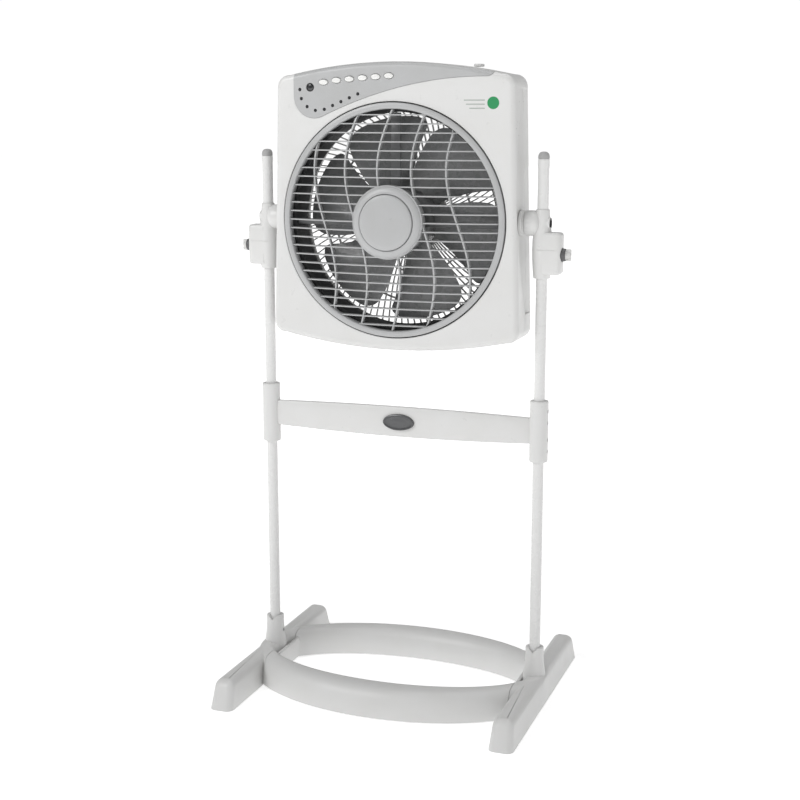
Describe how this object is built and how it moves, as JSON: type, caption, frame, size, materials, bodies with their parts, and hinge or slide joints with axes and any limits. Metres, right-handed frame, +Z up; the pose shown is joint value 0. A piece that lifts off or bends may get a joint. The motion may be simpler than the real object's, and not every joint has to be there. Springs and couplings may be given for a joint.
{
  "type": "box fan",
  "caption": "Box fan on a two-post stand: square housing that tilts and slides up the posts, turning round louvre, key panel, long feet and an oval base hoop.",
  "frame": {"origin": "on the floor, midway between the two feet and midway along them", "axes": "+Z up the posts; the fan blows towards -Y; +X towards the post on the right when facing the front of the fan"},
  "size_m": [0.504, 0.392, 0.9295],
  "materials": {
    "shell_plastic": "satin warm white",
    "post_paint": "gloss white powder coat",
    "cap_grey": "satin mid grey",
    "zinc_steel": "zinc plated",
    "badge_grey": "satin dark grey",
    "panel_grey": "satin grey",
    "dark_plastic": "dark tinted",
    "board_green": "solder resist",
    "blade_grey": "smoked grey",
    "motor_paint": "black paint",
    "louvre_grey": "satin light grey",
    "button_white": "smooth white"
  },
  "bodies": {
    "stand": {"base_hoop": "shell_plastic", "crossbar": "shell_plastic", "crossbar_badge": "badge_grey", "left_foot": "shell_plastic", "left_lower_tube": "post_paint", "left_upper_tube": "post_paint", "left_post_cap": "cap_grey", "left_socket_screw_1": "zinc_steel", "left_socket_screw_2": "zinc_steel", "left_sleeve_screw_1": "zinc_steel", "left_sleeve_screw_2": "zinc_steel", "left_sleeve_screw_3": "zinc_steel", "left_sleeve_screw_4": "zinc_steel", "right_foot": "shell_plastic", "right_lower_tube": "post_paint", "right_upper_tube": "post_paint", "right_post_cap": "cap_grey", "right_socket_screw_1": "zinc_steel", "right_socket_screw_2": "zinc_steel", "right_sleeve_screw_1": "zinc_steel", "right_sleeve_screw_2": "zinc_steel", "right_sleeve_screw_3": "zinc_steel", "right_sleeve_screw_4": "zinc_steel"},
    "carriage": {"left_bracket": "shell_plastic", "right_bracket": "shell_plastic"},
    "left_lock": {"left_lock_knob": "cap_grey"},
    "right_lock": {"right_lock_knob": "cap_grey"},
    "head": {"front_shell": "shell_plastic", "rear_shell": "shell_plastic", "control_panel": "panel_grey", "indicator_light_bar": "dark_plastic", "remote_receiver_window": "dark_plastic", "circuit_board": "board_green", "cable_gland": "dark_plastic", "top_seam_clip": "shell_plastic", "bottom_seam_clip": "shell_plastic", "left_pivot_hub": "shell_plastic", "right_pivot_hub": "shell_plastic", "left_pivot_pin": "zinc_steel", "right_pivot_pin": "zinc_steel", "louvre_motor_carrier": "blade_grey", "louvre_motor": "zinc_steel", "fan_motor": "motor_paint", "rear_grille": "shell_plastic", "shell_screw_1": "zinc_steel", "shell_screw_2": "zinc_steel", "shell_screw_3": "zinc_steel", "shell_screw_4": "zinc_steel"},
    "louvre": {"louvre_grille": "louvre_grey", "louvre_hub_cap": "louvre_grey"},
    "fan": {"impeller": "blade_grey", "impeller_nut": "blade_grey", "motor_shaft_and_rotor": "zinc_steel"},
    "key_1": {"button_1": "button_white"},
    "key_2": {"button_2": "button_white"},
    "key_3": {"button_3": "button_white"},
    "key_4": {"button_4": "button_white"},
    "key_5": {"button_5": "button_white"},
    "key_6": {"button_6": "button_white"}
  },
  "joints": [
    {"name": "height_slide", "type": "slide", "parent": "stand", "child": "carriage", "axis": [0, 0, 1], "range_m": [-0.04, 0.055]},
    {"name": "left_lock_turn", "type": "hinge", "parent": "carriage", "child": "left_lock", "pos_m": [-0.245, 0, 0.664], "axis": [-1, 0, 0], "range_deg": [0, 180]},
    {"name": "right_lock_turn", "type": "hinge", "parent": "carriage", "child": "right_lock", "pos_m": [0.245, 0, 0.664], "axis": [1, 0, 0], "range_deg": [0, 180]},
    {"name": "head_tilt", "type": "hinge", "parent": "carriage", "child": "head", "pos_m": [0, 0, 0.707], "axis": [1, 0, 0], "range_deg": [-90, 30]},
    {"name": "louvre_turn", "type": "hinge", "parent": "head", "child": "louvre", "pos_m": [0, -0.05, 0.707], "axis": [0, 1, 0], "continuous": true},
    {"name": "fan_spin", "type": "hinge", "parent": "head", "child": "fan", "pos_m": [0, 0.02, 0.707], "axis": [0, 1, 0], "continuous": true},
    {"name": "key_1_press", "type": "slide", "parent": "head", "child": "key_1", "axis": [0, 1, 0], "range_m": [0, 0.0012], "stiffness_N_per_m": 300, "springref_m": -0.0004},
    {"name": "key_2_press", "type": "slide", "parent": "head", "child": "key_2", "axis": [0, 1, 0], "range_m": [0, 0.0012], "stiffness_N_per_m": 300, "springref_m": -0.0004},
    {"name": "key_3_press", "type": "slide", "parent": "head", "child": "key_3", "axis": [0, 1, 0], "range_m": [0, 0.0012], "stiffness_N_per_m": 300, "springref_m": -0.0004},
    {"name": "key_4_press", "type": "slide", "parent": "head", "child": "key_4", "axis": [0, 1, 0], "range_m": [0, 0.0012], "stiffness_N_per_m": 300, "springref_m": -0.0004},
    {"name": "key_5_press", "type": "slide", "parent": "head", "child": "key_5", "axis": [0, 1, 0], "range_m": [0, 0.0012], "stiffness_N_per_m": 300, "springref_m": -0.0004},
    {"name": "key_6_press", "type": "slide", "parent": "head", "child": "key_6", "axis": [0, 1, 0], "range_m": [0, 0.0012], "stiffness_N_per_m": 300, "springref_m": -0.0004}
  ]
}
